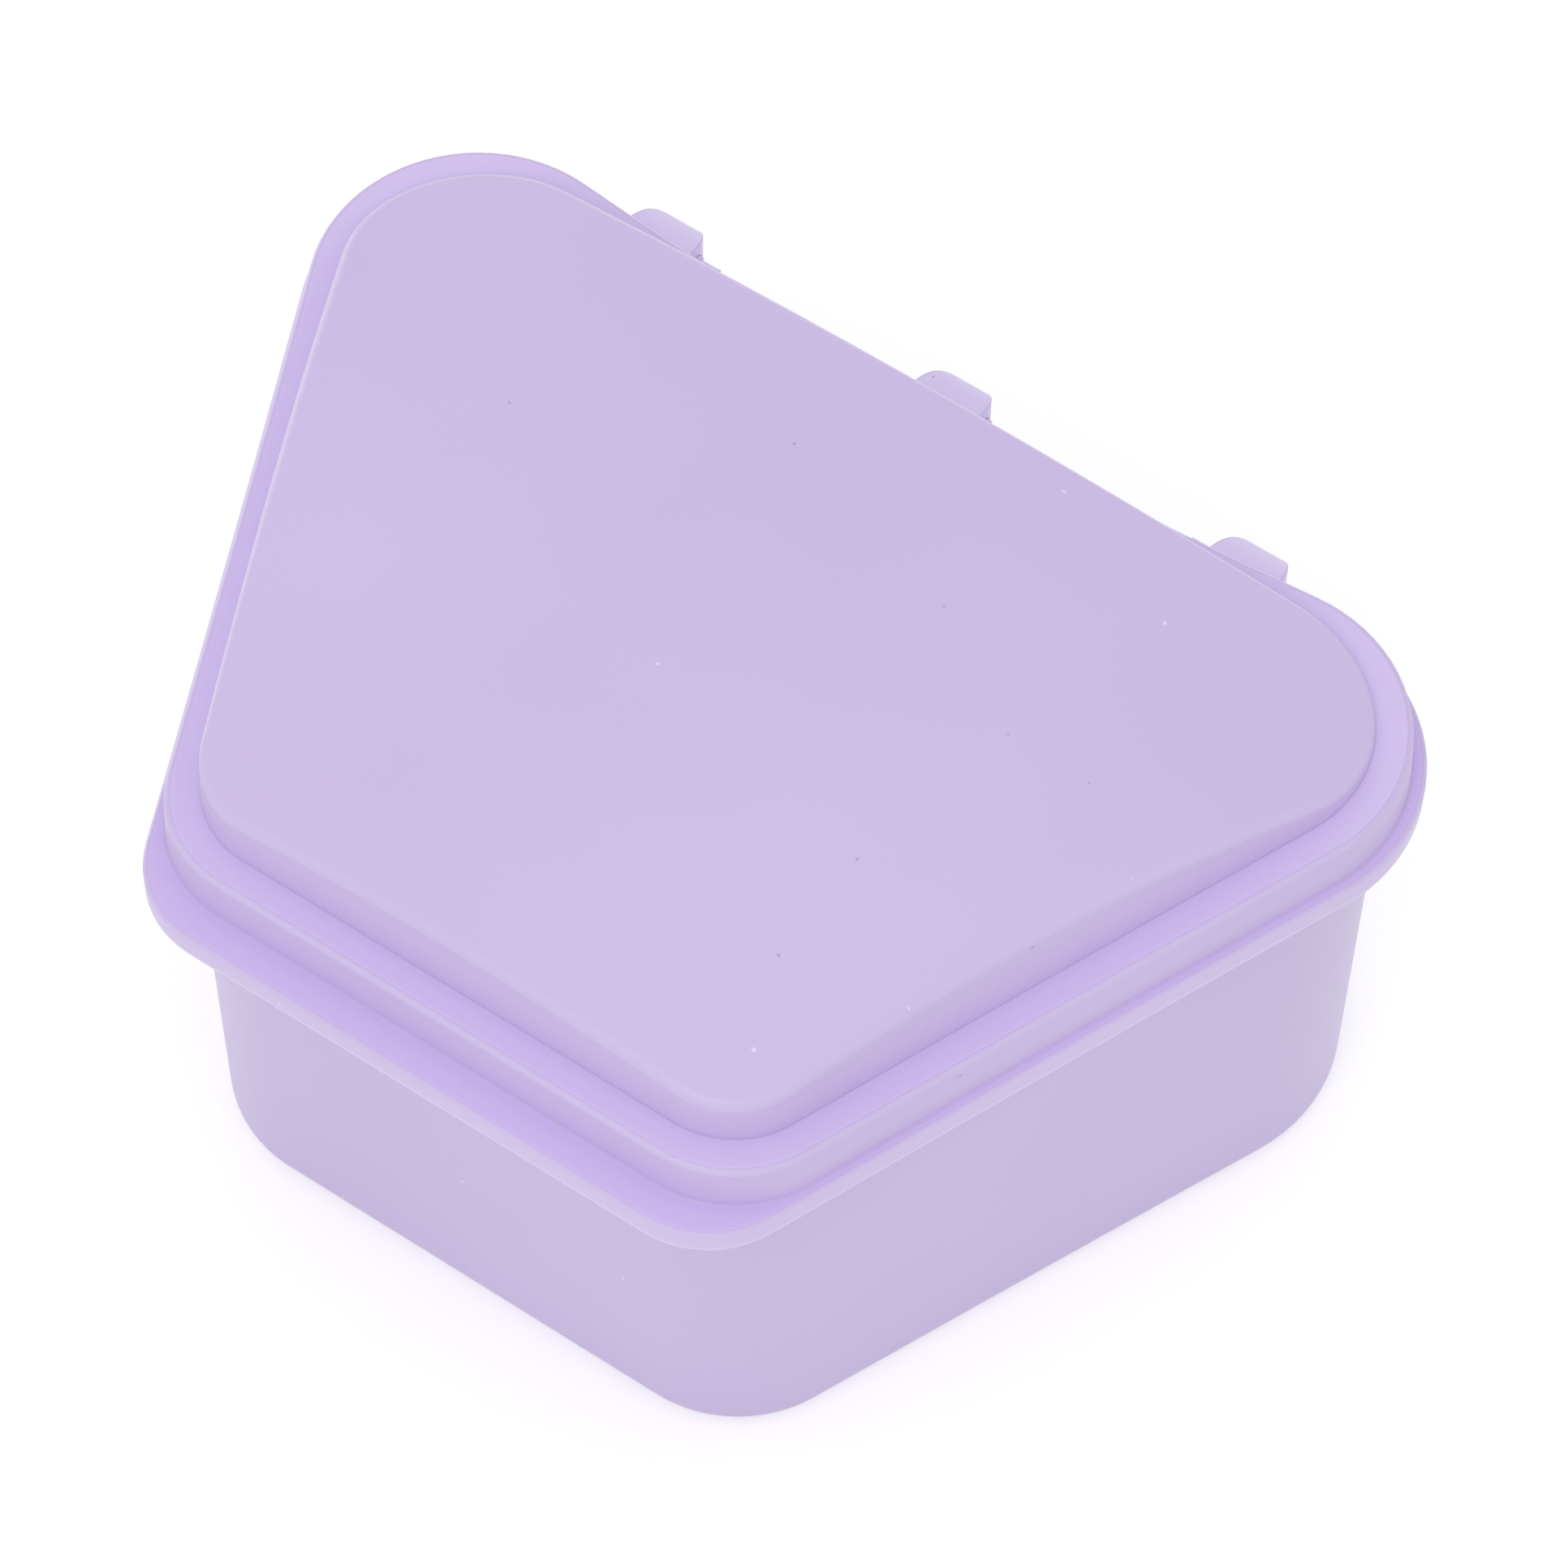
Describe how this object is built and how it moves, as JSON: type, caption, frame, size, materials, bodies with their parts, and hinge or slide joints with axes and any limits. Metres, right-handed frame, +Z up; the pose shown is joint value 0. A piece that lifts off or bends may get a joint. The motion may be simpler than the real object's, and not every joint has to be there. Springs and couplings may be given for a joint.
{
  "type": "retainer case",
  "caption": "Hinged retainer case: a tapered trapezoid tub with rounded corners and a stepped, domed lid that clips onto hinge bars behind the tub.",
  "frame": {"origin": "bottom centre of the closed case's bounding box, on the face it stands on", "axes": "+X along the hinge line, the long way of the case; +Y towards the hinge at the back, away from the thumb lip; +Z up, out of the lid"},
  "size_m": [0.0794, 0.06, 0.0467],
  "materials": {
    "tub_plastic": "satin moulded polypropylene, lilac",
    "lid_plastic": "satin moulded polypropylene, lilac"
  },
  "bodies": {
    "base": {"base_tub": "tub_plastic", "hinge_lugs_left": "tub_plastic", "hinge_lugs_middle": "tub_plastic", "hinge_lugs_right": "tub_plastic", "hinge_pin_left": "tub_plastic", "hinge_pin_middle": "tub_plastic", "hinge_pin_right": "tub_plastic"},
    "lid": {"lid_shell": "lid_plastic", "hinge_hook_left": "lid_plastic", "hinge_hook_middle": "lid_plastic", "hinge_hook_right": "lid_plastic"}
  },
  "joints": [
    {"name": "lid_hinge", "type": "hinge", "parent": "base", "child": "lid", "pos_m": [0, 0.02832, 0.03268], "axis": [-1, 0, 0], "range_deg": [0, 180]}
  ]
}
